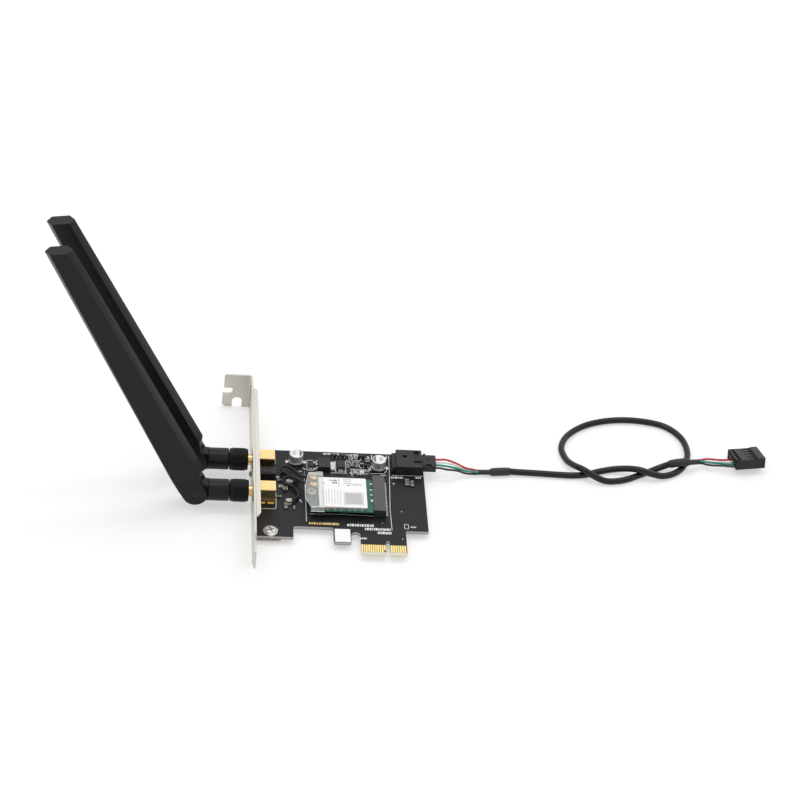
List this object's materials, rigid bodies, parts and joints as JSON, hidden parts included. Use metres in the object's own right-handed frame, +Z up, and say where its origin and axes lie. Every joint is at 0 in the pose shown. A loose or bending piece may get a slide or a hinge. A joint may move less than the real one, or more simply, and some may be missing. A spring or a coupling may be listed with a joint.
{
  "type": "wireless network expansion card",
  "caption": "Expansion card with a shielded radio module, metal bracket, two folding swivel paddle antennas and a plugged-in header cable.",
  "frame": {"origin": "on the bracket's outer face, level with the circuit board's component face and in line with the tips of the edge contacts", "axes": "+X from the bracket over the board to the cable, +Y away from the edge contacts towards the bracket's screw tab, +Z up from the component face"},
  "size_m": [0.3322, 0.12, 0.1367],
  "materials": {
    "board_mask": "dark grey solder mask, satin",
    "module_mask": "green solder mask, satin",
    "gold_plate": "gold plated, polished",
    "tin": "tinned leads, dull",
    "bracket_steel": "nickel plated sheet steel, satin",
    "screw_steel": "zinc plated",
    "ptfe": "white insulator",
    "black_plastic": "moulded, fine matt",
    "led_green": "tinted, glossy",
    "shield_can": "tinned sheet, dull",
    "label_white": "white film",
    "coax_black": "black sheath, satin",
    "can_aluminium": "drawn, satin",
    "component_body": "moulding compound, matt",
    "ceramic": "ceramic, dull",
    "wire_red": "soft insulation",
    "wire_white": "soft insulation",
    "wire_green": "soft insulation",
    "wire_black": "soft insulation",
    "shrink_tube": "shrink tube, matt",
    "cable_sheath": "soft sheath, satin",
    "antenna_shell": "moulded shell, satin"
  },
  "bodies": {
    "card": {"circuit_board": "board_mask", "edge_contacts": "gold_plate", "bracket": "bracket_steel", "bracket_screw": "screw_steel", "rf_jack_front": "gold_plate", "rf_jack_rear": "gold_plate", "jack_insulators": "ptfe", "jack_pins": "gold_plate", "led_holder": "black_plastic", "indicator_led": "led_green", "module_socket": "black_plastic", "socket_contacts": "tin", "module_standoff": "tin", "module_screw": "screw_steel", "module_board": "module_mask", "module_shield": "shield_can", "module_label": "label_white", "module_receptacles": "gold_plate", "module_plugs": "gold_plate", "board_receptacles": "gold_plate", "board_plugs": "tin", "pigtail_front": "coax_black", "pigtail_rear": "coax_black", "capacitor_bases": "black_plastic", "capacitor_cans": "can_aluminium", "voltage_regulator": "component_body", "regulator_leads": "tin", "power_diode": "component_body", "diode_terminals": "tin", "transistors": "component_body", "transistor_leads": "tin", "chip_parts": "ceramic", "chip_terminals": "tin", "usb_header": "black_plastic", "header_pins": "tin", "usb_plug": "black_plastic", "wire_red_near": "wire_red", "wire_white_near": "wire_white", "wire_green_near": "wire_green", "wire_black_near": "wire_black", "near_sleeve": "shrink_tube", "cable_jacket": "cable_sheath", "far_sleeve": "shrink_tube", "wire_red_far": "wire_red", "wire_white_far": "wire_white", "wire_green_far": "wire_green", "wire_black_far": "wire_black", "far_housing": "black_plastic"},
    "nut_front": {"coupling_nut_front": "black_plastic"},
    "swivel_front": {"antenna_base_front": "antenna_shell", "antenna_socket_front": "gold_plate"},
    "blade_front": {"antenna_blade_front": "antenna_shell", "hinge_pin_front": "black_plastic"},
    "nut_rear": {"coupling_nut_rear": "black_plastic"},
    "swivel_rear": {"antenna_base_rear": "antenna_shell", "antenna_socket_rear": "gold_plate"},
    "blade_rear": {"antenna_blade_rear": "antenna_shell", "hinge_pin_rear": "black_plastic"}
  },
  "joints": [
    {"name": "nut_spin_front", "type": "hinge", "parent": "card", "child": "nut_front", "pos_m": [-0.005, 0.0344, 0.0046], "axis": [1, 0, 0], "continuous": true},
    {"name": "antenna_swivel_front", "type": "hinge", "parent": "card", "child": "swivel_front", "pos_m": [-0.012, 0.0344, 0.0046], "axis": [1, 0, 0], "range_deg": [-5, 180]},
    {"name": "antenna_fold_front", "type": "hinge", "parent": "swivel_front", "child": "blade_front", "pos_m": [-0.0253, 0.0344, 0.0046], "axis": [0, 1, 0], "range_deg": [-63.7, 26.3]},
    {"name": "nut_spin_rear", "type": "hinge", "parent": "card", "child": "nut_rear", "pos_m": [-0.005, 0.056, 0.0046], "axis": [1, 0, 0], "continuous": true},
    {"name": "antenna_swivel_rear", "type": "hinge", "parent": "card", "child": "swivel_rear", "pos_m": [-0.012, 0.056, 0.0046], "axis": [1, 0, 0], "range_deg": [-180, 5]},
    {"name": "antenna_fold_rear", "type": "hinge", "parent": "swivel_rear", "child": "blade_rear", "pos_m": [-0.0253, 0.056, 0.0046], "axis": [0, 1, 0], "range_deg": [-63.7, 26.3]}
  ]
}
